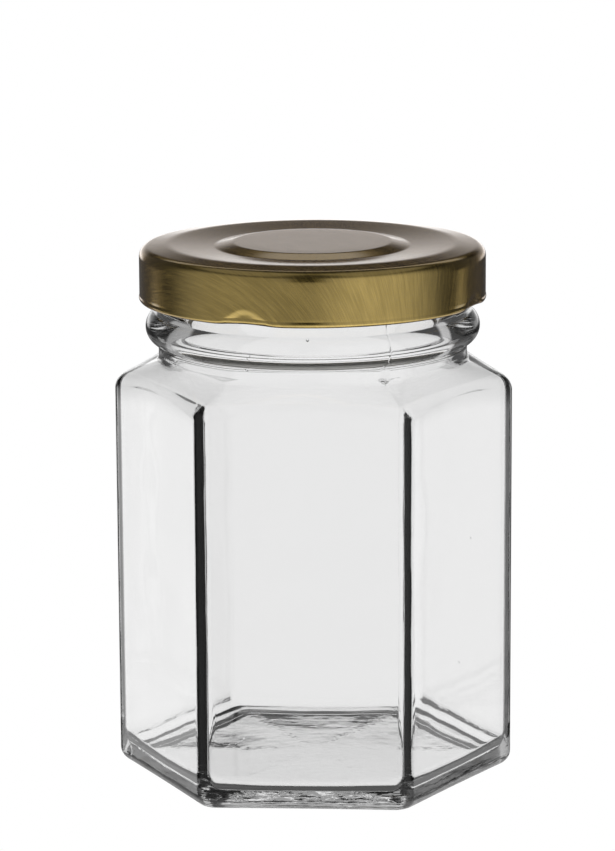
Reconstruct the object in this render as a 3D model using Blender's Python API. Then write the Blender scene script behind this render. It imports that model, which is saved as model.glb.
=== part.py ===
"""Hexagonal glass jar with a round twist-off metal lid.

Metres, +Z up. The jar stands on z = 0 around the Z axis, its front flat faces -Y and
two of its six corners lie on the X axis. Every surface is a section, a list of
(radius, height) points, that is worked out anew for each angle around the axis.
"""

import math

import bmesh
import bpy

# Body
BODY_FLATS = 0.0669            # across two opposite flats
CORNER_RADIUS = 0.0035         # of the six upright edges
WALL = 0.0025                  # glass thickness of the flats
INNER_CORNER_RADIUS = 0.0012
HEEL_RADIUS = 0.0026           # between the sides and the base
BEARING_WIDTH = 0.0040         # flat ring that the jar stands on
PUSH_UP = 0.0011               # hollow under the base
FLOOR_HEIGHT = 0.0030          # inner floor

# Shoulder, which runs from the hexagon to the round neck: pairs over a flat and at a corner
SHOULDER_TOP = (0.0810, 0.0802)    # where the outer line meets the neck
INNER_SHOULDER_TOP = 0.0810        # the same for the inner line, before it is lowered by the wall
SHOULDER_ANGLE = (42.0, 25.0)      # degrees below the horizontal
SHOULDER_RADIUS = (0.0020, 0.0032)           # between a wall and the shoulder
INNER_SHOULDER_RADIUS = (0.0016, 0.0024)
FLOOR_RADIUS = (0.0030, 0.0040)    # between an inner wall and the floor

# Neck and finish
NECK_RADIUS = 0.02945
NECK_FILLET = 0.0012
MOUTH_RADIUS = 0.0268
MOUTH_FILLET = 0.0030
BEAD_RADIUS = 0.0319           # widest point of the transfer bead
BEAD_HEIGHT = 0.0868
BEAD_SECTION = 0.0034          # radius of the bead's own section
FINISH_RADIUS = 0.0302
RIM_HEIGHT = 0.1012
RIM_ROUNDING = 0.0011

# Threads, four short ridges that the lugs run under
THREADS = 4
THREAD_PROUD = 0.0009
THREAD_WIDTH = 0.0022
THREAD_LOW = 0.0949
THREAD_HIGH = 0.0974
THREAD_START = 22.0            # degrees from +X
THREAD_SPAN = 74.0             # degrees
THREAD_TAPER = 9.0             # degrees at each end

# Lid
LID_RADIUS = 0.0330
LID_SHEET = 0.0007
LID_BOTTOM = 0.0918
LID_ROUNDING = 0.0020          # between the top and the side
EDGE_SLOPE = 6.0               # degrees down from the crest to the rounding
CREST_RADIUS = 0.0275
CREST_HEIGHT = 0.1026
GROOVE_RADIUS = 0.0186
GROOVE_HEIGHT = 0.10204
PANEL_RADIUS = 0.0151
PANEL_HEIGHT = 0.1028
CREASE = 0.0004                # reach of the easing of each crease of the top
CURL_RADIUS = 0.0007
LUGS = 4
LUG_START = -109.0             # degrees from +X
LUG_HALF_WIDTH = 13.0          # degrees
LUG_DEPTH = 0.0004
LUG_HEIGHT = 0.0024

SIDES = 6
STEPS_PER_HALF_SIDE = 7        # facets from a corner to the middle of a flat
CORNER_CROWDING = 1.9          # facets crowd towards the corners by this power
LID_STEPS = 72


def cross(angle, turn):
    """The angle folded into one turn around zero, in degrees."""
    return (angle + turn / 2) % turn - turn / 2


def window(distance, half_width, taper):
    """1 inside the half width, falling smoothly to 0 over the taper."""
    past = (abs(distance) - (half_width - taper)) / taper
    return 0.5 + 0.5 * math.cos(math.pi * min(max(past, 0.0), 1.0))


def hexagon_radius(angle, apothem, corner_radius):
    """Distance from the axis to a hexagon with rounded corners, a corner lying at 0 degrees."""
    turned = abs(math.radians(cross(angle, 360 / SIDES)))
    half = math.pi / SIDES
    centre = (apothem - corner_radius) / math.cos(half)
    tangent = math.atan2(corner_radius * math.sin(half), centre + corner_radius * math.cos(half))
    if turned >= tangent:
        return apothem / math.cos(half - turned)
    return centre * math.cos(turned) + math.sqrt(corner_radius**2 - (centre * math.sin(turned)) ** 2)


def blend(start, end, share):
    """The pair of numbers that lies between two pairs."""
    return tuple(a + (b - a) * share for a, b in zip(start, end))


def arc(centre_r, centre_z, radius, start, end, steps):
    """Points on a circle of the section, from one angle in degrees to another."""
    turns = [math.radians(start + (end - start) * i / steps) for i in range(steps + 1)]
    return [(centre_r + radius * math.cos(t), centre_z + radius * math.sin(t)) for t in turns]


def shoulder_height(radius, slope, top):
    """Height at a radius of the shoulder's line, which meets the neck at the top."""
    return top - (radius - NECK_RADIUS) * math.tan(math.radians(slope))


def shoulder_arc(wall_radius, rounding, slope, top, steps):
    """The rounding from an upright wall into the shoulder, from the wall upwards."""
    end = 90 - slope
    end_r = wall_radius - rounding * (1 - math.cos(math.radians(end)))
    centre_z = shoulder_height(end_r, slope, top) - rounding * math.sin(math.radians(end))
    return arc(wall_radius - rounding, centre_z, rounding, 0, end, steps)


def foot_arc(wall_radius, rounding, slope, top, steps):
    """The rounding from the shoulder into an upright neck, from the shoulder upwards."""
    start = 270 - slope
    start_r = wall_radius + rounding * (1 + math.cos(math.radians(start)))
    centre_z = shoulder_height(start_r, slope, top) - rounding * math.sin(math.radians(start))
    return arc(wall_radius + rounding, centre_z, rounding, start, 180, steps)


def base_section(outer):
    """The hollow under the base, the flat ring around it and the rounded heel."""
    hollow = outer - HEEL_RADIUS - BEARING_WIDTH
    return [
        (hollow * 0.5, PUSH_UP * 0.85),
        (hollow * 0.93, PUSH_UP * 0.45),
        (hollow, 0.0),
    ] + arc(outer - HEEL_RADIUS, HEEL_RADIUS, HEEL_RADIUS, -90, 0, 3)


def bead_section():
    """The bead between the neck and the finish."""
    centre = BEAD_RADIUS - BEAD_SECTION
    low = -math.degrees(math.acos((NECK_RADIUS - centre) / BEAD_SECTION))
    high = math.degrees(math.acos((FINISH_RADIUS - centre) / BEAD_SECTION))
    return arc(centre, BEAD_HEIGHT, BEAD_SECTION, low, high, 8)


def thread_section(angle):
    """The finish wall with the ridge that passes at this angle."""
    pitch = 360 / THREADS
    along = cross(angle - THREAD_START, pitch)
    climb = min(max(along / THREAD_SPAN + 0.5, 0.0), 1.0)
    gap = (abs(along) - THREAD_SPAN / 2) / (pitch / 2 - THREAD_SPAN / 2)
    if gap > 0:
        climb = 0.5 + math.copysign(0.5 * (1 - gap), along)
    centre_z = THREAD_LOW + (THREAD_HIGH - THREAD_LOW) * climb
    proud = THREAD_PROUD * window(along, THREAD_SPAN / 2, THREAD_TAPER)
    across = (-1.0, -0.5, 0.0, 0.5, 1.0)
    return [
        (FINISH_RADIUS + proud * (1 - abs(u) ** 2.5), centre_z + u * THREAD_WIDTH / 2)
        for u in across
    ]


def rim_section():
    """The sealing rim, outer edge, top and inner edge."""
    top = RIM_HEIGHT - RIM_ROUNDING
    outer_edge = arc(FINISH_RADIUS - RIM_ROUNDING, top, RIM_ROUNDING, 0, 90, 3)
    inner_edge = arc(MOUTH_RADIUS + RIM_ROUNDING, top, RIM_ROUNDING, 90, 180, 3)
    return outer_edge + inner_edge


def outside_shoulder(outer, place):
    """The outer shoulder, place being 0 over a flat and 1 at a corner."""
    slope = SHOULDER_ANGLE[place]
    top = SHOULDER_TOP[place]
    foot = foot_arc(NECK_RADIUS, NECK_FILLET, slope, top, 3)
    return shoulder_arc(outer, SHOULDER_RADIUS[place], slope, top, 5) + foot


def inside_section(inner, place):
    """The neck's bore, the inner shoulder, the inner wall and the floor, from top to bottom."""
    slope = SHOULDER_ANGLE[place]
    top = INNER_SHOULDER_TOP - WALL / math.cos(math.radians(slope))
    floor = FLOOR_RADIUS[place]
    bore = foot_arc(MOUTH_RADIUS, MOUTH_FILLET, slope, top, 3)[::-1]
    shoulder = shoulder_arc(inner, INNER_SHOULDER_RADIUS[place], slope, top, 4)[::-1]
    corner = arc(inner - floor, FLOOR_HEIGHT + floor, floor, 0, -90, 4)
    return bore + shoulder + corner + [(inner * 0.5, FLOOR_HEIGHT)]


def jar_section(angle):
    """The glass at one angle, from under the base, up the outside and down the inside."""
    outer_flat = BODY_FLATS / 2
    inner_flat = outer_flat - WALL
    outer_corner = hexagon_radius(0, outer_flat, CORNER_RADIUS)
    inner_corner = hexagon_radius(0, inner_flat, INNER_CORNER_RADIUS)
    outer = hexagon_radius(angle, outer_flat, CORNER_RADIUS)
    inner = hexagon_radius(angle, inner_flat, INNER_CORNER_RADIUS)
    outer_share = (outer - outer_flat) / (outer_corner - outer_flat)
    inner_share = (inner - inner_flat) / (inner_corner - inner_flat)
    shoulders = zip(outside_shoulder(outer_flat, 0), outside_shoulder(outer_corner, 1))
    insides = zip(inside_section(inner_flat, 0), inside_section(inner_corner, 1))
    return (
        base_section(outer)
        + [blend(flat, corner, outer_share) for flat, corner in shoulders]
        + bead_section()
        + thread_section(angle)
        + rim_section()
        + [blend(flat, corner, inner_share) for flat, corner in insides]
    )


def lid_edge():
    """The start of the rounding between the lid's top and side, and the middle of that rounding."""
    slope = math.radians(EDGE_SLOPE)
    start_r = LID_RADIUS - LID_ROUNDING * (1 - math.sin(slope))
    start_z = CREST_HEIGHT - (start_r - CREST_RADIUS) * math.tan(slope)
    return (start_r, start_z), (LID_RADIUS - LID_ROUNDING, start_z - LID_ROUNDING * math.cos(slope))


def lid_top(sheet):
    """The pressed top from its middle to the crest, lowered by the sheet for its underside."""
    panel = (PANEL_RADIUS, PANEL_HEIGHT)
    groove = (GROOVE_RADIUS, GROOVE_HEIGHT)
    crest = (CREST_RADIUS, CREST_HEIGHT)
    top = [(PANEL_RADIUS * 0.5, PANEL_HEIGHT)]
    places = [top[0], panel, groove, crest, lid_edge()[0]]
    for before, corner, after in zip(places, places[1:], places[2:]):
        top.append(blend(corner, before, CREASE / math.dist(corner, before)))
        top.append(blend(corner, after, CREASE / math.dist(corner, after)))
    return [(r, z - sheet) for r, z in top]


def lid_section(angle):
    """The sheet at one angle, from under the panel, down the inside, round the curl and up."""
    lug = LUG_DEPTH * window(cross(angle - LUG_START, 360 / LUGS), LUG_HALF_WIDTH, LUG_HALF_WIDTH)
    edge_r, edge_z = lid_edge()[1]
    steep = 90 - EDGE_SLOPE
    curl_r = LID_RADIUS - CURL_RADIUS - lug
    curl_z = LID_BOTTOM + CURL_RADIUS
    inside = arc(edge_r, edge_z, LID_ROUNDING - LID_SHEET, steep, 0, 3)
    inside += [
        (LID_RADIUS - LID_SHEET, LID_BOTTOM + LUG_HEIGHT),
        (LID_RADIUS - LID_SHEET - lug, curl_z + 2 * CURL_RADIUS),
    ]
    curl = arc(curl_r, curl_z, CURL_RADIUS, -180, 0, 5)
    curl = [(r - (1.2 * lug if i < 2 else 0.0), z) for i, (r, z) in enumerate(curl)]
    outside = [
        (LID_RADIUS - 0.8 * lug, curl_z + CURL_RADIUS),
        (LID_RADIUS, LID_BOTTOM + LUG_HEIGHT),
    ]
    outside += arc(edge_r, edge_z, LID_ROUNDING, 0, steep, 5)
    return lid_top(LID_SHEET) + inside + curl + outside + lid_top(0.0)[::-1]


def crowded_angles():
    """Angles around the jar, close together at the corners and wider along the flats."""
    half = 180 / SIDES
    reach = [half * (i / STEPS_PER_HALF_SIDE) ** CORNER_CROWDING for i in range(STEPS_PER_HALF_SIDE)]
    one_side = reach + [2 * half - a for a in [half] + reach[:0:-1]]
    return [side * 2 * half + a for side in range(SIDES) for a in one_side]


def even_angles(steps):
    """Evenly spaced angles around the axis."""
    return [360 * i / steps for i in range(steps)]


def skin(name, section, angles, first_z, last_z, material):
    """One closed object from the sections at the given angles, with a point on the axis at each end."""
    bm = bmesh.new()
    columns = []
    for angle in angles:
        c, s = math.cos(math.radians(angle)), math.sin(math.radians(angle))
        columns.append([bm.verts.new((r * c, r * s, z)) for r, z in section(angle)])
    first = bm.verts.new((0, 0, first_z))
    last = bm.verts.new((0, 0, last_z))
    for here, there in zip(columns, columns[1:] + columns[:1]):
        bm.faces.new((first, there[0], here[0]))
        for i in range(len(here) - 1):
            bm.faces.new((here[i], there[i], there[i + 1], here[i + 1]))
        bm.faces.new((here[-1], there[-1], last))
    mesh = bpy.data.meshes.new(name)
    bm.to_mesh(mesh)
    bm.free()
    mesh.materials.append(material)
    mesh.shade_smooth()
    mesh.set_sharp_from_angle(angle=math.radians(40))
    piece = bpy.data.objects.new(name, mesh)
    bpy.context.collection.objects.link(piece)
    return piece


def surface(name, color, roughness, metallic, transmission=0.0, ior=1.5):
    """A Principled material."""
    material = bpy.data.materials.new(name)
    material.use_nodes = True
    shader = material.node_tree.nodes["Principled BSDF"]
    shader.inputs["Base Color"].default_value = (*color, 1.0)
    shader.inputs["Roughness"].default_value = roughness
    shader.inputs["Metallic"].default_value = metallic
    shader.inputs["Transmission Weight"].default_value = transmission
    shader.inputs["IOR"].default_value = ior
    return material


def main():
    for old in list(bpy.data.objects):
        bpy.data.objects.remove(old)
    glass = surface("clear glass", (0.95, 0.97, 0.96), 0.02, 0.0, transmission=1.0, ior=1.52)
    gold = surface("gold lacquer", (0.34, 0.26, 0.10), 0.32, 1.0)
    skin("jar", jar_section, crowded_angles(), PUSH_UP, FLOOR_HEIGHT, glass)
    skin("lid", lid_section, even_angles(LID_STEPS), PANEL_HEIGHT - LID_SHEET, PANEL_HEIGHT, gold)


main()
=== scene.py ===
import math

import bpy
from mathutils import Euler, Matrix, Vector


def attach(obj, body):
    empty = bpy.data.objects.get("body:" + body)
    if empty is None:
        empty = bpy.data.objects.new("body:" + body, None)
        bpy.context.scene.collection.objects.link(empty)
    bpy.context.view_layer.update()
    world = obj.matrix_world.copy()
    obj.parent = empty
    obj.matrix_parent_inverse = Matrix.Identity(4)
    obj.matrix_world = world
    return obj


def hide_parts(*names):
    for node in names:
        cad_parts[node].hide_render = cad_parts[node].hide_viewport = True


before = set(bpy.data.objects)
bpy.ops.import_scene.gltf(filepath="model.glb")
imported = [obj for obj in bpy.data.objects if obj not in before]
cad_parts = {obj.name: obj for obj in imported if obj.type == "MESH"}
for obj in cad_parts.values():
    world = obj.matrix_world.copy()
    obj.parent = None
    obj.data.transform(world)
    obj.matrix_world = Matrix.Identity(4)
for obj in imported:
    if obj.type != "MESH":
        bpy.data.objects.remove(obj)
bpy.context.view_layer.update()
scene = bpy.context.scene
print("frame loaded:", sorted(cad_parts))


# Small tools for node trees

def feed(tree, socket, value):
    # a number goes on the socket itself, anything else is linked
    if isinstance(value, Field):
        value = value.socket
    if isinstance(value, bpy.types.NodeSocket):
        tree.links.new(value, socket)
    else:
        socket.default_value = value


def put(tree, kind, inputs=None, **settings):
    node = tree.nodes.new(kind)
    for name, value in settings.items():
        setattr(node, name, value)
    for key, value in (inputs or {}).items():
        feed(tree, node.inputs[key], value)
    return node


class Field:
    # a number in a node tree that plain arithmetic works on

    def __init__(self, tree, socket):
        self.tree = tree
        self.socket = socket

    def calc(self, operation, *others):
        values = dict(enumerate((self, *others)))
        node = put(self.tree, "ShaderNodeMath", values, operation=operation)
        return Field(self.tree, node.outputs[0])

    def __add__(self, other):
        return self.calc("ADD", other)

    def __sub__(self, other):
        return self.calc("SUBTRACT", other)

    def __mul__(self, other):
        return self.calc("MULTIPLY", other)

    def __truediv__(self, other):
        return self.calc("DIVIDE", other)

    def __neg__(self):
        return self.calc("MULTIPLY", -1.0)

    def __pow__(self, other):
        return self.calc("POWER", other)

    def ramp(self, low, high, fromValue=0.0, toValue=1.0):
        # an eased step from one value to the other
        values = {"Value": self, "From Min": low, "From Max": high}
        values.update({"To Min": fromValue, "To Max": toValue})
        node = put(self.tree, "ShaderNodeMapRange", values, interpolation_type="SMOOTHSTEP")
        return Field(self.tree, node.outputs[0])


def number(tree, value):
    node = put(tree, "ShaderNodeValue")
    node.outputs[0].default_value = value
    return Field(tree, node.outputs[0])


def geometryTree(name, sizes):
    # a tree with a named input for each size, a whole one where its number is whole
    tree = bpy.data.node_groups.new(name, "GeometryNodeTree")
    tree.interface.new_socket(name="Geometry", in_out="OUTPUT", socket_type="NodeSocketGeometry")
    tree.interface.new_socket(name="Geometry", in_out="INPUT", socket_type="NodeSocketGeometry")
    for label, value in sizes.items():
        kind = "NodeSocketInt" if isinstance(value, int) else "NodeSocketFloat"
        tree.interface.new_socket(name=label, in_out="INPUT", socket_type=kind).default_value = value
    return tree


def runTree(seed, tree, sizes, pieceName):
    # runs a tree on a seed mesh and keeps the result as a plain mesh object
    maker = bpy.data.objects.new(pieceName + "Maker", seed)
    scene.collection.objects.link(maker)
    modifier = maker.modifiers.new("made", "NODES")
    modifier.node_group = tree
    for item in tree.interface.items_tree:
        if item.in_out == "INPUT" and item.name in sizes:
            modifier[item.identifier] = sizes[item.name]
    graph = bpy.context.evaluated_depsgraph_get()
    mesh = bpy.data.meshes.new_from_object(maker.evaluated_get(graph))
    maker.modifiers.remove(modifier)
    bpy.data.objects.remove(maker)
    mesh.name = pieceName
    piece = bpy.data.objects.new(pieceName, mesh)
    scene.collection.objects.link(piece)
    print(pieceName, "made,", len(mesh.polygons), "faces")
    return piece


# Sections, lists of (radius, height) that are turned or lofted round the axis

def arc(centreR, centreZ, radius, start, end, steps):
    turns = [math.radians(start + (end - start) * i / steps) for i in range(steps + 1)]
    return [(centreR + radius * math.cos(t), centreZ + radius * math.sin(t)) for t in turns]


def line(start, end, steps):
    # points after the start, up to and with the end
    return [
        tuple(a + (b - a) * i / steps for a, b in zip(start, end))
        for i in range(1, steps + 1)
    ]


def sectionMesh(name, points, **attributes):
    # a row of points, with one number a point in each attribute and pairs of numbers as places
    mesh = bpy.data.meshes.new(name)
    mesh.from_pydata([(r, 0.0, z) for r, z in points], [], [])
    for label, values in attributes.items():
        if isinstance(values[0], tuple):
            layer = mesh.attributes.new(label, "FLOAT_VECTOR", "POINT")
            layer.data.foreach_set("vector", [v for r, z in values for v in (r, 0.0, z)])
        else:
            layer = mesh.attributes.new(label, "FLOAT", "POINT")
            layer.data.foreach_set("value", values)
    return mesh


def named(tree, label, kind="FLOAT"):
    node = put(tree, "GeometryNodeInputNamedAttribute", {"Name": label}, data_type=kind)
    return node.outputs["Attribute"]


def painted(tree, label):
    # reads an attribute of the mesh in a material
    return Field(tree, put(tree, "ShaderNodeAttribute", attribute_name=label).outputs["Fac"])


def position(tree):
    return put(tree, "GeometryNodeInputPosition").outputs[0]


def split(tree, vector):
    node = put(tree, "ShaderNodeSeparateXYZ", {0: vector})
    return [Field(tree, output) for output in node.outputs]


def sectionGrid(tree, section, columns):
    # a grid with a row for each point of the section, the number of each point's column, and
    # a function that reads the section's values
    rowCount = put(tree, "GeometryNodeAttributeDomainSize", {0: section}, component="MESH").outputs[0]
    rowCount = Field(tree, rowCount)
    grid = put(tree, "GeometryNodeMeshGrid", {"Vertices X": columns + 1.0, "Vertices Y": rowCount})
    index = Field(tree, put(tree, "GeometryNodeInputIndex").outputs[0])
    column = wholePart(index / rowCount)
    row = index - column * rowCount

    def read(field, kind="FLOAT"):
        values = {"Geometry": section, "Value": field, "Index": row}
        node = put(tree, "GeometryNodeSampleIndex", values, data_type=kind, domain="POINT")
        return node.outputs[0]

    return grid.outputs[0], column, read


def wholePart(field):
    # nudged up, because a quotient that should be whole can fall just short
    return (field + 0.0001).calc("FLOOR")


def folded(angle, pitch):
    # the angle from the nearest multiple of the pitch
    shifted = angle + pitch / 2.0
    return shifted - (shifted / pitch).calc("FLOOR") * pitch - pitch / 2.0


def turnedPlace(tree, radius, angle, height):
    axes = {0: radius * angle.calc("COSINE"), 1: radius * angle.calc("SINE"), 2: height}
    return put(tree, "ShaderNodeCombineXYZ", axes).outputs[0]


def movedTo(tree, geometry, place):
    return put(tree, "GeometryNodeSetPosition", {"Geometry": geometry, "Position": place}).outputs[0]


def movedBy(tree, geometry, offset):
    return put(tree, "GeometryNodeSetPosition", {"Geometry": geometry, "Offset": offset}).outputs[0]


def stored(tree, geometry, label, value, kind="FLOAT", domain="POINT"):
    values = {"Geometry": geometry, "Name": label, "Value": value}
    node = put(tree, "GeometryNodeStoreNamedAttribute", values, data_type=kind, domain=domain)
    return node.outputs[0]


def welded(tree, geometry):
    # closes the seam of a grid that was turned round the axis, and its poles
    values = {"Geometry": geometry, "Distance": 0.000002}
    return put(tree, "GeometryNodeMergeByDistance", values).outputs[0]


def finished(tree, geometry, material):
    # the common end of every tree
    smooth = put(tree, "GeometryNodeSetShadeSmooth", {"Geometry": geometry}).outputs[0]
    whole = put(tree, "GeometryNodeRealizeInstances", {0: smooth}).outputs[0]
    covered = put(tree, "GeometryNodeSetMaterial", {"Geometry": whole, "Material": material})
    put(tree, "NodeGroupOutput", {0: covered.outputs[0]})


glass = {
    "flats": 0.0669,              # across two opposite flats
    "cornerRadius": 0.0035,
    "wall": 0.0025,
    "innerCornerRadius": 0.0012,
    "heelRadius": 0.0026,
    "bearingWidth": 0.0040,       # of the flat ring that the jar stands on
    "pushUp": 0.0011,             # hollow under the base
    "hollowPlaces": ((0.5, 0.85), (0.93, 0.45)),    # shares of its radius and of its height
    "floorHeight": 0.0030,
    "floorCrown": 0.0002,         # the floor's middle over its edge
    # height at the neck that the inner shoulder is set off from, by the wall's thickness
    "innerTop": 0.0810,
    # the outer shoulder's height at the neck, the slope in degrees, and the roundings at both
    # skins of the shoulder and at the floor
    "overFlat": {
        "top": 0.0810,
        "slope": 42.0,
        "shoulder": 0.0020,
        "innerShoulder": 0.0016,
        "floor": 0.0030,
    },
    "atCorner": {
        "top": 0.0802,
        "slope": 25.0,
        "shoulder": 0.0032,
        "innerShoulder": 0.0024,
        "floor": 0.0040,
    },
    "neckRadius": 0.02945,
    "neckFillet": 0.0012,
    "mouthRadius": 0.0268,
    "mouthFillet": 0.0030,
    "beadRadius": 0.0319,
    "beadHeight": 0.0868,
    "beadSection": 0.0034,
    "finishRadius": 0.0302,
    "rimHeight": 0.1012,
    "rimRounding": 0.0011,
    "threadLow": 0.0949,
    "threadHigh": 0.0974,
    "threadProud": 0.0009,
    "threadWidth": 0.0022,
    "threads": 4,
    "threadStart": 22.0,          # degrees from +X
    "threadSpan": 74.0,
    "threadTaper": 9.0,
    "threadCrown": 0.2,           # the flat share of its section
    "bodyEnd": (0.0795, 0.0805),  # heights between which the corners run out
    "seamAt": 300.0,              # of the mould, degrees from +X
    "seamWidth": 0.00022,
    "seamProud": 0.00014,
    "knobHeight": 0.0812,         # of the knob at the foot of the seam
    "knobRadius": 0.0011,
    "knobCrown": 0.3,             # the flat share of its radius
    "knobProud": 0.0009,
    "innerWaviness": 0.0001,
    "floorWaviness": 0.00012,
    "wavesPerMetre": (55.0, 90.0),    # of the inner skin and of the floor
    "floorZone": (0.004, 0.010),  # heights between which the floor's waves fade out
    "facetsPerSide": 60,
    "crowding": 2.0,              # facets crowd towards the corners by this power
}
sides = 6
halfSide = math.pi / sides        # angle from a corner to the middle of a flat
farFromThread = 9.0               # stands for points that are on no thread
threadReach = 2.0                 # of the band that moves with a thread, in half widths


def shoulderHeight(radius, slope, top):
    return top - (radius - glass["neckRadius"]) * math.tan(math.radians(slope))


def shoulderArc(wallRadius, rounding, slope, top, steps):
    end = 90 - slope
    endR = wallRadius - rounding * (1 - math.cos(math.radians(end)))
    centreZ = shoulderHeight(endR, slope, top) - rounding * math.sin(math.radians(end))
    return arc(wallRadius - rounding, centreZ, rounding, 0, end, steps)


def footArc(wallRadius, rounding, slope, top, steps):
    start = 270 - slope
    startR = wallRadius + rounding * (1 + math.cos(math.radians(start)))
    centreZ = shoulderHeight(startR, slope, top) - rounding * math.sin(math.radians(start))
    return arc(wallRadius + rounding, centreZ, rounding, start, 180, steps)


def baseSection(outer):
    # the hollow under the base, the flat ring round it and the heel. Here and below, the last
    # number of a line or an arc is its count of steps
    g = glass
    hollow = outer - g["heelRadius"] - g["bearingWidth"]
    base = [(0.0, g["pushUp"])]
    for reach, height in g["hollowPlaces"]:
        base += line(base[-1], (hollow * reach, g["pushUp"] * height), 8)
    base += line(base[-1], (hollow, 0.0), 3)
    base += line(base[-1], (outer - g["heelRadius"], 0.0), 4)
    return base + arc(outer - g["heelRadius"], g["heelRadius"], g["heelRadius"], -90, 0, 10)[1:]


def beadSection():
    g = glass
    centre = g["beadRadius"] - g["beadSection"]
    low = -math.degrees(math.acos((g["neckRadius"] - centre) / g["beadSection"]))
    high = math.degrees(math.acos((g["finishRadius"] - centre) / g["beadSection"]))
    return arc(centre, g["beadHeight"], g["beadSection"], low, high, 24)


def threadBand():
    # the band of the finish that a thread climbs along, as (radius, height, skin, thread)
    g = glass
    steps = 16
    alongs = [threadReach * (2 * i / steps - 1) for i in range(steps + 1)]
    return [(g["finishRadius"], g["threadLow"] + a * g["threadWidth"] / 2, 0.0, a) for a in alongs]


def insideSection(inner, shape):
    # the bore from the rim downwards, the inner shoulder, the inner wall and the floor
    g = glass
    slope = shape["slope"]
    top = g["innerTop"] - g["wall"] / math.cos(math.radians(slope))
    bore = footArc(g["mouthRadius"], g["mouthFillet"], slope, top, 10)[::-1]
    shoulder = shoulderArc(inner, shape["innerShoulder"], slope, top, 12)[::-1]
    floor = shape["floor"]
    corner = arc(inner - floor, g["floorHeight"] + floor, floor, 0, -90, 14)
    rimTop = g["rimHeight"] - g["rimRounding"]
    inside = arc(g["mouthRadius"] + g["rimRounding"], rimTop, g["rimRounding"], 90, 180, 6)
    inside += line(inside[-1], bore[0], 10) + bore[1:] + line(bore[-1], shoulder[0], 5)
    inside += shoulder[1:] + line(shoulder[-1], corner[0], 30) + corner[1:]
    return inside + line(corner[-1], (0.0, g["floorHeight"] + g["floorCrown"]), 18)


def jarSection(outer, inner, shape):
    # the glass from the middle of the base, up the outside and down the inside,
    # as (radius, height, skin, thread), skin being 0 outside and 1 inside
    g = glass
    base = baseSection(outer)
    shoulder = shoulderArc(outer, shape["shoulder"], shape["slope"], shape["top"], 14)
    foot = footArc(g["neckRadius"], g["neckFillet"], shape["slope"], shape["top"], 8)
    bead = beadSection()
    outside = base + line(base[-1], shoulder[0], 12) + shoulder[1:]
    outside += line(outside[-1], foot[0], 5) + foot[1:] + line(foot[-1], bead[0], 2) + bead[1:]
    rimTop = g["rimHeight"] - g["rimRounding"]
    rim = arc(g["finishRadius"] - g["rimRounding"], rimTop, g["rimRounding"], 0, 90, 6)
    points = [(r, z, 0.0, farFromThread) for r, z in outside]
    points += threadBand()
    points += [(r, z, 0.0, farFromThread) for r, z in rim]
    return points + [(r, z, 1.0, farFromThread) for r, z in insideSection(inner, shape)]


def hexagonReach(apothem, cornerRadius):
    return (apothem - cornerRadius) / math.cos(halfSide) + cornerRadius


def sectionSeed():
    # the section over a flat and the one through a corner, as two attributes of one row of points
    g = glass
    outerFlat = g["flats"] / 2
    innerFlat = outerFlat - g["wall"]
    outerCorner = hexagonReach(outerFlat, g["cornerRadius"])
    innerCorner = hexagonReach(innerFlat, g["innerCornerRadius"])
    overFlat = jarSection(outerFlat, innerFlat, g["overFlat"])
    throughCorner = jarSection(outerCorner, innerCorner, g["atCorner"])
    return sectionMesh(
        "jarSection",
        [point[:2] for point in overFlat],
        cornerPoint=[point[:2] for point in throughCorner],
        skin=[point[2] for point in overFlat],
        across=[point[3] for point in overFlat],
    )


def hexagonShare(turned, apothem, cornerRadius):
    # 0 over the middle of a flat and 1 at a corner, for an angle in radians from the corner
    centre = (apothem - cornerRadius) / math.cos(halfSide)
    tangent = math.atan2(
        cornerRadius * math.sin(halfSide), centre + cornerRadius * math.cos(halfSide))
    onFlat = number(turned.tree, apothem) / (-turned + halfSide).calc("COSINE")
    aside = (turned.calc("SINE") * centre) ** 2.0
    onCorner = turned.calc("COSINE") * centre
    onCorner = onCorner + (-aside + cornerRadius**2).calc("MAXIMUM", 0.0).calc("SQRT")
    isFlat = turned.calc("GREATER_THAN", tangent)
    reach = onCorner + (onFlat - onCorner) * isFlat
    return (reach - apothem) / (hexagonReach(apothem, cornerRadius) - apothem)


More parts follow.
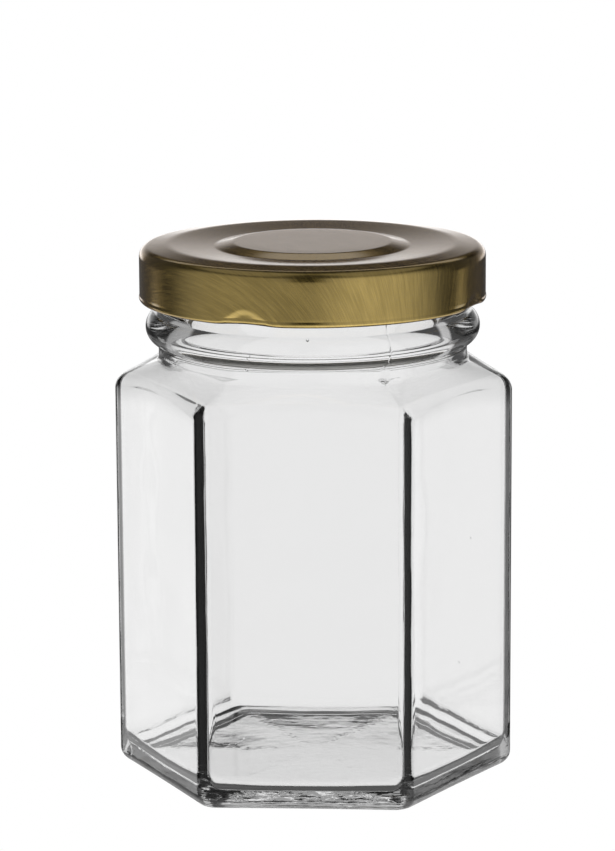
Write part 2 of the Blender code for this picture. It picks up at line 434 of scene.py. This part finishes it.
def makeLoftTree(sizes, glassMaterial):
    tree = geometryTree("hexagonLoft", sizes)
    g = glass
    entry = put(tree, "NodeGroupInput").outputs
    sideFacets = Field(tree, entry["Facets per side"])
    grid, column, read = sectionGrid(tree, entry["Geometry"], sideFacets * float(sides))

    # angle of each column, the columns standing close together at the corners
    side = wholePart(column / sideFacets)
    along = column / sideFacets - side
    fold = -((along * 2.0 - 1.0).calc("ABSOLUTE")) + 1.0
    turned = (fold.calc("MAXIMUM", 0.0) ** Field(tree, entry["Crowding"])) * halfSide
    secondHalf = along.calc("GREATER_THAN", 0.5)
    angle = side * (2 * halfSide) + turned + (-turned * 2.0 + 2 * halfSide) * secondHalf

    # the section at that angle lies between the one over a flat and the one through a corner
    flatR, _, flatZ = split(tree, read(position(tree), "FLOAT_VECTOR"))
    cornerR, _, cornerZ = split(tree, read(named(tree, "cornerPoint", "FLOAT_VECTOR"), "FLOAT_VECTOR"))
    skin = Field(tree, read(named(tree, "skin")))
    across = Field(tree, read(named(tree, "across")))
    outerShare = hexagonShare(turned, g["flats"] / 2, g["cornerRadius"])
    innerShare = hexagonShare(turned, g["flats"] / 2 - g["wall"], g["innerCornerRadius"])
    share = outerShare + (innerShare - outerShare) * skin
    radius = flatR + (cornerR - flatR) * share
    height = flatZ + (cornerZ - flatZ) * share

    # short threads climb round the finish
    thread = folded(angle - math.radians(g["threadStart"]), 2 * math.pi / g["threads"])
    onThread = across.calc("ABSOLUTE").calc("LESS_THAN", threadReach + 0.5)
    climb = (thread / math.radians(g["threadSpan"]) + 0.5).calc("MAXIMUM", 0.0).calc("MINIMUM", 1.0)
    height = height + climb * onThread * (g["threadHigh"] - g["threadLow"])
    ridge = across.calc("ABSOLUTE").ramp(g["threadCrown"], 1.0, 1.0, 0.0)
    halfSpan = math.radians(g["threadSpan"] / 2)
    taper = math.radians(g["threadTaper"])
    ends = thread.calc("ABSOLUTE").ramp(halfSpan - taper, halfSpan, 1.0, 0.0)
    radius = radius + ridge * ends * onThread * g["threadProud"]

    # the seam of the mould, over two opposite corners, and a knob at its foot in front
    outer = -skin + 1.0
    onBody = height.ramp(*g["bodyEnd"], 1.0, 0.0)
    seam = folded(angle - math.radians(g["seamAt"]), math.pi)
    fin = seam.calc("ABSOLUTE").ramp(0.0, g["seamWidth"] / g["neckRadius"], 1.0, 0.0)
    radius = radius + fin * outer * (-onBody + 1.0) * g["seamProud"]
    aside = (angle - math.radians(g["seamAt"])) * g["neckRadius"]
    away = (aside * aside + (height - g["knobHeight"]) ** 2.0).calc("SQRT")
    knob = away.ramp(g["knobRadius"] * g["knobCrown"], g["knobRadius"], 1.0, 0.0)
    radius = radius + knob * outer * g["knobProud"]

    shaped = movedTo(tree, grid, turnedPlace(tree, radius, angle, height))
    marked = stored(tree, shaped, "skin", skin)
    marked = stored(tree, marked, "corner", share * onBody)
    closed = welded(tree, marked)

    # pressed glass is never quite even inside
    place = position(tree)
    onFloor = split(tree, place)[2].ramp(*g["floorZone"], 1.0, 0.0)

    def noise(scale):
        node = put(tree, "ShaderNodeTexNoise", {"Vector": place, "Scale": scale, "Detail": 1.0})
        return Field(tree, node.outputs[0]) - 0.5

    wallScale, floorScale = g["wavesPerMetre"]
    wave = noise(wallScale) * Field(tree, entry["Inner waviness"])
    wave = wave + noise(floorScale) * onFloor * Field(tree, entry["Floor waviness"])
    normal = put(tree, "GeometryNodeInputNormal").outputs[0]
    offset = put(tree, "ShaderNodeVectorMath", {0: normal}, operation="SCALE")
    feed(tree, offset.inputs["Scale"], wave * 2.0 * Field(tree, named(tree, "skin")))
    waved = movedBy(tree, closed, offset.outputs[0])
    finished(tree, waved, glassMaterial)
    return tree


lid = {
    "radius": 0.0330,
    "sheet": 0.0007,
    "bottom": 0.0918,
    "panel": (0.0151, 0.1028, 0.0004),    # radius, height and reach of the easing of each crease
    "groove": (0.0186, 0.10204, 0.0004),
    "crest": (0.0275, 0.1026, 0.0008),
    "edgeSlope": 6.0,             # degrees down from the crest to the rounding
    "rounding": 0.0020,           # between the top and the side
    "curl": 0.0007,               # radius of the rolled lower edge
    "curlProud": 0.00010,
    "curlEnd": 35.0,              # degrees over its outermost point
    "curlTops": (2.0, 1.15),      # where the side starts inside and outside, in radii over its middle
    "lugs": 4,
    "lugStart": -109.0,           # degrees from +X
    "lugHalfWidth": 13.0,
    "lugDepth": 0.00030,
    "lugLift": 0.00035,
    "lugHeight": 0.0019,          # of the pressed arch over the curl
    "lugStep": 0.0010,            # half the height over which the sheet steps in
    "lugZone": 0.0026,            # height over which the lift of the edge fades out
    "facets": 360,
    "brushAngle": -48.0,          # degrees from +X, of the brushing on the flat sheet
}


def between(start, end, share):
    return tuple(a + (b - a) * share for a, b in zip(start, end))


def creased(start, corners, end, steps):
    # straight runs between the corners, each corner eased over its reach
    places = [start] + [corner[:2] for corner in corners] + [end]
    points = [start]
    for before, corner, after in zip(places, corners, places[2:]):
        here = corner[:2]
        entry = between(here, before, corner[2] / math.dist(here, before))
        leave = between(here, after, corner[2] / math.dist(here, after))
        points += line(points[-1], entry, 4)
        for i in range(1, steps + 1):
            share = i / steps
            points.append(between(between(entry, here, share), between(here, leave, share), share))
    return points + line(points[-1], end, 6)


def lidEdge():
    # where the slope outside the crest meets the rounding, and the middle of the rounding
    d = lid
    slope = math.radians(d["edgeSlope"])
    r = d["radius"] - d["rounding"] * (1 - math.sin(slope))
    z = d["crest"][1] - (r - d["crest"][0]) * math.tan(slope)
    return (r, z), (d["radius"] - d["rounding"], z - d["rounding"] * math.cos(slope))


def lidTop(drop):
    d = lid
    start = (0.0, d["panel"][1])
    top = creased(start, (d["panel"], d["groove"], d["crest"]), lidEdge()[0], 6)
    return [(r, z - drop) for r, z in top]


def lidSection():
    # from under the middle, down the inside, round the curl, up the outside and back to the middle,
    # as points, with heights over the curl, runs along the sheet and 1 on the enamelled inside
    d = lid
    edgeR, edgeZ = lidEdge()[1]
    steep = 90 - d["edgeSlope"]
    curlZ = d["bottom"] + d["curl"]
    curlR = d["radius"] - d["curl"] + d["curlProud"]
    insideTop, outsideTop = d["curlTops"]
    inner = arc(edgeR, edgeZ, d["rounding"] - d["sheet"], steep, 0, 8)[1:]
    inner += line(inner[-1], (d["radius"] - d["sheet"], curlZ + insideTop * d["curl"]), 10)
    curl = arc(curlR, curlZ, d["curl"], -180, d["curlEnd"], 16)
    outer = line(curl[-1], (d["radius"], curlZ + outsideTop * d["curl"]), 3)
    outer += line(outer[-1], (d["radius"], edgeZ), 22)
    outer += arc(edgeR, edgeZ, d["rounding"], 0, steep, 14)[1:]
    under = lidTop(d["sheet"]) + inner
    points = under + curl + outer + lidTop(0.0)[-2::-1]
    runs = [0.0]
    for here, there in zip(points[::-1], points[-2::-1]):
        runs.append(runs[-1] + math.dist(here, there))
    farAbove = 1.0
    aboves = [z - curlZ if r > edgeR else farAbove for r, z in points]
    insides = [1.0 if i < len(under) else 0.0 for i in range(len(points))]
    return points, {"above": aboves, "run": runs[::-1], "inside": insides}


def makeLidTree(sizes, goldMaterial):
    tree = geometryTree("pressedLid", sizes)
    d = lid
    entry = put(tree, "NodeGroupInput").outputs
    facets = Field(tree, entry["Facets"])
    grid, column, read = sectionGrid(tree, entry["Geometry"], facets)
    angle = column / facets * (2 * math.pi)
    radius, _, height = split(tree, read(position(tree), "FLOAT_VECTOR"))
    above = Field(tree, read(named(tree, "above")))
    run = Field(tree, read(named(tree, "run")))

    # the lugs are pressed into the rolled edge
    pitch = number(tree, 2 * math.pi) / Field(tree, entry["Lugs"])
    lug = folded(angle - math.radians(d["lugStart"]), pitch)
    lug = lug.calc("ABSOLUTE").ramp(0.0, math.radians(d["lugHalfWidth"]), 1.0, 0.0)
    step = d["lugStep"]
    arch = lug * (Field(tree, entry["Lug height"]) + step * 2) - step * 2
    press = (arch - above).ramp(-step, step)
    radius = radius - press * Field(tree, entry["Lug depth"])
    onEdge = above.ramp(0.0, d["lugZone"], 1.0, 0.0)
    height = height + lug * onEdge * Field(tree, entry["Lug lift"])

    shaped = movedTo(tree, grid, turnedPlace(tree, radius, angle, height))
    marked = stored(tree, shaped, "run", run)
    marked = stored(tree, marked, "inside", read(named(tree, "inside")))
    closed = welded(tree, marked)

    # where each point lay on the flat sheet that was brushed before it was pressed
    x, y, _ = split(tree, position(tree))
    aboveNought = 0.000001
    reach = (x * x + y * y).calc("SQRT").calc("MAXIMUM", aboveNought)
    runNow = Field(tree, named(tree, "run"))
    brush = math.radians(d["brushAngle"])
    alongBrush = (x * math.cos(brush) + y * math.sin(brush)) / reach * runNow
    acrossBrush = (y * math.cos(brush) - x * math.sin(brush)) / reach * runNow
    flat = put(tree, "ShaderNodeCombineXYZ", {0: alongBrush, 1: acrossBrush}).outputs[0]
    unrolled = stored(tree, closed, "sheetMap", flat, "FLOAT2", "CORNER")
    finished(tree, unrolled, goldMaterial)
    return tree


# Materials

def newMaterial(name):
    material = bpy.data.materials.new(name)
    material.use_nodes = True
    tree = material.node_tree
    return material, tree, tree.nodes["Principled BSDF"]


def mixedColour(tree, share, first, second):
    node = put(tree, "ShaderNodeMix", {"Factor": share}, data_type="RGBA")
    # the colour sockets of a mix node come after its number and vector sockets
    ends = [socket for socket in node.inputs if socket.type == "RGBA"]
    feed(tree, ends[0], first)
    feed(tree, ends[1], second)
    return [output for output in node.outputs if output.type == "RGBA"][0]


def drawnNoise(tree, place, scales, detail):
    # noise drawn out along one way, with scales in waves a metre
    drawn = put(tree, "ShaderNodeMapping", {"Vector": place, "Scale": scales}).outputs[0]
    values = {"Vector": drawn, "Scale": 1.0, "Detail": detail}
    return Field(tree, put(tree, "ShaderNodeTexNoise", values).outputs[0])


clearGlass = {
    "color": (1.0, 1.0, 1.0, 1.0),
    "ior": 1.52,
    "roughness": 0.0,
    # unevenness as (depth in metres, waves a metre across, waves a metre down, detail)
    "ripple": (0.00001, 150.0, 60.0, 1.0),
    "streak": (0.00004, 900.0, 70.0, 2.0),
    "streakZone": (0.80, 0.95),           # share of the way from a flat to a corner
    "drag": (0.00008, 170.0, 900.0, 2.0),
    "dragZone": (0.0030, 0.0050),         # heights between which it fades out over the heel
    "grain": (0.00004, 420.0, 700.0, 3.0),
    "grainHeight": 0.0814,                # round the foot of the neck
    "grainZone": (0.0005, 0.0014),        # distances from that height where it fades out
    "grainPatches": (60.0, -0.05, 0.10),  # waves a metre, and the noise where they set in
    "speck": 0.00006,
    "speckCells": 60.0,                   # a metre
    "speckZone": (0.01, 0.022),           # shares of a cell
}


def makeGlassMaterial():
    # clear moulded glass, faintly uneven
    material, tree, shader = newMaterial("clearGlass")
    g = clearGlass
    shader.inputs["Base Color"].default_value = g["color"]
    shader.inputs["Roughness"].default_value = g["roughness"]
    shader.inputs["IOR"].default_value = g["ior"]
    shader.inputs["Transmission Weight"].default_value = 1.0
    place = put(tree, "ShaderNodeTexCoord").outputs["Object"]
    level = split(tree, place)[2]

    def uneven(depth, across, down, detail):
        return (drawnNoise(tree, place, (across, across, down), detail) - 0.5) * depth

    ripple = uneven(*g["ripple"])
    streak = uneven(*g["streak"]) * painted(tree, "corner").ramp(*g["streakZone"])
    outside = -painted(tree, "skin") + 1.0
    drag = uneven(*g["drag"]) * outside * level.ramp(*g["dragZone"], 1.0, 0.0)
    foot = (level - g["grainHeight"]).calc("ABSOLUTE").ramp(*g["grainZone"], 1.0, 0.0)
    waves, *patchEdge = g["grainPatches"]
    grain = uneven(*g["grain"]) * foot * uneven(1.0, waves, waves, 0.0).ramp(*patchEdge)
    cell = put(tree, "ShaderNodeTexVoronoi", {"Vector": place, "Scale": g["speckCells"]})
    speck = Field(tree, cell.outputs["Distance"]).ramp(*g["speckZone"], 1.0, 0.0) * g["speck"]
    height = ripple + streak + drag + grain + speck
    bump = put(tree, "ShaderNodeBump", {"Strength": 1.0, "Distance": 1.0, "Height": height})
    feed(tree, shader.inputs["Normal"], bump.outputs[0])
    return material


goldLacquer = {
    "light": (0.50, 0.36, 0.10, 1.0),
    "dark": (0.36, 0.255, 0.062, 1.0),
    "edge": (1.0, 0.84, 0.78, 1.0),       # at a grazing angle
    "enamel": (0.82, 0.81, 0.77, 1.0),    # of the inside
    "roughness": 0.22,
    "roughnessSpread": 0.10,
    "anisotropy": 0.50,
    "coatRoughness": 0.10,
    "coatIor": 1.5,
    # the brushing as (waves a metre along it, waves a metre across it, detail)
    "fine": (220.0, 5200.0, 2.0),
    "coarse": (90.0, 1500.0, 2.0),
    "cloud": (120.0, 260.0, 3.0),
    "toneShares": (0.45, 0.35, 0.3),      # of the three in the colour
    "toneRange": (0.38, 0.72),
    "reliefShares": (0.6, 0.4),           # of the first two in the scratches
    "reliefStrength": 0.25,
    "reliefDepth": 0.00006,
}


def makeGoldMaterial():
    # brushed tinplate under a clear gold lacquer, brushed straight across the flat sheet
    material, tree, shader = newMaterial("goldLacquer")
    g = goldLacquer
    sheet = put(tree, "ShaderNodeUVMap", uv_map="sheetMap").outputs[0]

    def streaks(along, across, detail):
        return drawnNoise(tree, sheet, (along, across, 1.0), detail)

    fine = streaks(*g["fine"])
    coarse = streaks(*g["coarse"])
    cloud = streaks(*g["cloud"])
    fineShare, coarseShare, cloudShare = g["toneShares"]
    tone = fine * fineShare + coarse * coarseShare + cloud * cloudShare
    tone = tone.ramp(*g["toneRange"])
    inside = painted(tree, "inside")
    lacquer = mixedColour(tree, tone, g["dark"], g["light"])
    feed(tree, shader.inputs["Base Color"], mixedColour(tree, inside, lacquer, g["enamel"]))
    feed(tree, shader.inputs["Metallic"], -inside + 1.0)
    shader.inputs["Specular Tint"].default_value = g["edge"]
    spread = g["roughnessSpread"]
    feed(tree, shader.inputs["Roughness"], tone * spread + (g["roughness"] - spread / 2))
    shader.inputs["Anisotropic"].default_value = g["anisotropy"]
    shader.inputs["Coat Weight"].default_value = 1.0
    shader.inputs["Coat Roughness"].default_value = g["coatRoughness"]
    shader.inputs["Coat IOR"].default_value = g["coatIor"]
    tangent = put(tree, "ShaderNodeTangent", direction_type="UV_MAP", uv_map="sheetMap")
    feed(tree, shader.inputs["Tangent"], tangent.outputs[0])
    fineShare, coarseShare = g["reliefShares"]
    relief = {
        "Strength": g["reliefStrength"],
        "Distance": g["reliefDepth"],
        "Height": fine * fineShare + coarse * coarseShare,
    }
    feed(tree, shader.inputs["Normal"], put(tree, "ShaderNodeBump", relief).outputs[0])
    return material


glassMaterial = makeGlassMaterial()
goldMaterial = makeGoldMaterial()
print("materials made")

jarSizes = {
    "Facets per side": glass["facetsPerSide"],
    "Crowding": glass["crowding"],
    "Inner waviness": glass["innerWaviness"],
    "Floor waviness": glass["floorWaviness"],
}
jarTree = makeLoftTree(jarSizes, glassMaterial)
jar = runTree(sectionSeed(), jarTree, jarSizes, "jarGlass")
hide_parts("jar")
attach(jar, "root")

lidSizes = {
    "Facets": lid["facets"],
    "Lugs": lid["lugs"],
    "Lug depth": lid["lugDepth"],
    "Lug lift": lid["lugLift"],
    "Lug height": lid["lugHeight"],
}
lidTree = makeLidTree(lidSizes, goldMaterial)
points, marks = lidSection()
lidPiece = runTree(sectionMesh("lidSection", points, **marks), lidTree, lidSizes, "goldLid")
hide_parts("lid")
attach(lidPiece, "root")


# Stage

camera = {
    "aim": Vector((0.0, 0.0, 0.050)),
    "distance": 0.7339,
    "elevation": 13.148,          # degrees, as the camera sees the aim point
    "yaw": 3.362,
    "pan": -0.089,
    "pitch": 11.856,
    "roll": -0.326,
    "focalPixels": 3801.5,
    "longSidePixels": 851,
}


def makeCamera():
    c = camera
    data = bpy.data.cameras.new("camera")
    data.sensor_width = 36.0
    data.sensor_fit = "AUTO"
    data.lens = c["focalPixels"] / c["longSidePixels"] * data.sensor_width
    data.clip_start = 0.01
    holder = bpy.data.objects.new("camera", data)
    scene.collection.objects.link(holder)
    yaw = math.radians(c["yaw"])
    rise = math.radians(c["elevation"])
    away = Vector((math.sin(yaw) * math.cos(rise), -math.cos(yaw) * math.cos(rise), math.sin(rise)))
    heading = Euler((math.radians(90 - c["pitch"]), 0.0, yaw - math.radians(c["pan"]))).to_matrix()
    roll = Matrix.Rotation(math.radians(c["roll"]), 3, "Z")
    holder.matrix_world = Matrix.Translation(c["aim"] + away * c["distance"]) @ (heading @ roll).to_4x4()
    scene.camera = holder


floorSheet = {
    "half": 1.5,
    "drop": 0.0002,               # under the foot of the jar
}


def makeFloor():
    mesh = bpy.data.meshes.new("floor")
    half = floorSheet["half"]
    corners = [(-half, -half, 0), (half, -half, 0), (half, half, 0), (-half, half, 0)]
    mesh.from_pydata(corners, [], [(0, 1, 2, 3)])
    floor = bpy.data.objects.new("floor", mesh)
    scene.collection.objects.link(floor)
    material, tree, shader = newMaterial("paleFloor")
    tree.nodes.remove(shader)
    glow = put(tree, "ShaderNodeEmission", {"Color": (1.0, 1.0, 1.0, 1.0), "Strength": 1.0})
    tree.links.new(glow.outputs[0], tree.nodes["Material Output"].inputs["Surface"])
    mesh.materials.append(material)
    floor.visible_transmission = False
    floor.visible_glossy = False
    floor.location.z = -floorSheet["drop"]


studio = {
    # angles are in degrees, the rise over the horizon and the turn to the right of straight
    # behind the jar, up to 180 in front; a step is (angle, angle, level before, level after)
    # and a patch (middle, where it starts to fade, where it ends, level)

    # mirrored behind: bright and low, black above it, with a lamp higher up
    "backdropRise": (0.0, 6.0, 1.4, 0.60),
    "backdropTop": (5.0, 19.0, 1.0, 0.02),
    "backdropTurn": (4.0, 22.0, 1.0, 0.55),
    "backdropFoot": (-8.0, -3.0, 0.06, 1.0),
    "backdropEnd": (26.0, 36.0, 1.0, 0.0),
    "lampFoot": (27.0, 31.0, 0.0, 1.0),
    "lampTop": (36.0, 43.0, 0.60, 0.0),
    # mirrored at the sides and in front: dark cards, a grey room with a light on its right and
    # a dark screen in its middle, and the lit edge of the table low on both sides
    "cardEnd": (72.0, 104.0, 0.07, 0.44),
    "sideLight": (138.0, 6.0, 52.0, 0.34),
    "screen": (180.0, 5.0, 17.0, 1.0),
    "screenRise": (-16.0, 10.0, 0.0, 0.95),
    "roomTop": (25.0, 55.0, 1.0, 0.04),
    "tableLeft": (-54.0, 3.0, 7.0, 1.3),
    "tableRight": (61.0, 3.0, 7.0, 1.1),
    "tableFoot": (-22.0, -18.5, 0.0, 1.0),
    "tableTop": (-11.3, -10.3, 1.0, 0.0),
    # mirrored from above, mostly from the sides, and from below
    "overheadTurn": (45.0, 75.0, 0.34, 0.05),     # from straight to the side
    "overheadRise": (44.0, 54.0, 0.0, 1.0),
    "underneath": (-36.0, -18.0, 0.8, 0.0),
    # straight through the glass
    "room": (20.0, 60.0, 0.92, 0.4),
    # caught in the glass first: dark, with a card on each side and a glow behind
    "caughtDark": 0.07,
    "caughtRight": (58.0, 4.0, 9.0, 0.50),
    "caughtLeft": (-62.0, 13.0, 19.0, 0.32),
    "caughtRise": (24.0, 34.0, 1.0, 0.1),         # from level, up or down
    "glowTurn": (8.0, 22.0, 0.8, 0.0),
    "glowReach": (20.0, 30.0, 1.0, 0.0),          # from level, up or down
    "glowRise": (-1.0, 1.0, 1.0, 0.4),
}


def patch(angle, middle, inner, outer, level):
    return (angle - middle).calc("ABSOLUTE").ramp(inner, outer, level, 0.0)


def makeStudio():
    world = bpy.data.worlds.new("studio")
    scene.world = world
    world.use_nodes = True
    world.cycles.sampling_method = "NONE"
    tree = world.node_tree
    background = tree.nodes["Background"]
    x, y, z = split(tree, put(tree, "ShaderNodeTexCoord").outputs["Generated"])
    path = put(tree, "ShaderNodeLightPath").outputs
    isCamera = Field(tree, path["Is Camera Ray"])
    isThrough = Field(tree, path["Is Transmission Ray"])
    # mirrored inside the glass, or out again from the wall that it came in by
    mirroredInside = Field(tree, path["Glossy Depth"]).calc("GREATER_THAN", 0.5)
    oneWall = Field(tree, path["Transmission Depth"]).calc("LESS_THAN", 3.5)
    isCaught = mirroredInside.calc("MAXIMUM", oneWall)
    rise = z.calc("ARCSINE") * math.degrees(1)
    turn = x.calc("ARCTAN2", y) * math.degrees(1)
    off = turn.calc("ABSOLUTE")
    tilt = rise.calc("ABSOLUTE")
    s = studio

    behind = rise.ramp(*s["backdropRise"]) * rise.ramp(*s["backdropTop"])
    behind = behind * turn.ramp(*s["backdropTurn"])
    behind = behind + rise.ramp(*s["lampFoot"]) * rise.ramp(*s["lampTop"])
    behind = behind * rise.ramp(*s["backdropFoot"])
    front = off.ramp(*s["cardEnd"]) + patch(turn, *s["sideLight"])
    screen = patch(off, *s["screen"]) * rise.ramp(*s["screenRise"])
    front = front * (-screen + 1.0) * rise.ramp(*s["roomTop"])
    tables = patch(turn, *s["tableLeft"]) + patch(turn, *s["tableRight"])
    front = front + tables * rise.ramp(*s["tableFoot"]) * rise.ramp(*s["tableTop"])
    mirrored = front + (behind - front) * off.ramp(*s["backdropEnd"])
    overhead = (off - 90.0).calc("ABSOLUTE").ramp(*s["overheadTurn"])
    mirrored = mirrored + rise.ramp(*s["overheadRise"]) * overhead
    mirrored = mirrored + rise.ramp(*s["underneath"])

    through = rise.ramp(*s["room"])
    caught = patch(turn, *s["caughtRight"]) + patch(turn, *s["caughtLeft"])
    caught = caught * tilt.ramp(*s["caughtRise"]) + s["caughtDark"]
    glow = off.ramp(*s["glowTurn"]) * tilt.ramp(*s["glowReach"]) * rise.ramp(*s["glowRise"])
    through = through + (caught.calc("MAXIMUM", glow) - through) * isCaught
    seen = mirrored + (through - mirrored) * isThrough
    # the camera itself sees plain white
    seen = seen + (-seen + 1.0) * isCamera
    feed(tree, background.inputs["Strength"], seen)
    background.inputs["Color"].default_value = (1.0, 1.0, 1.0, 1.0)


makeCamera()
makeFloor()
makeStudio()
print("camera, floor and studio made")
scene.view_settings.view_transform = "Standard"
scene.cycles.max_bounces = 24
scene.cycles.transmission_bounces = 24
scene.cycles.glossy_bounces = 8
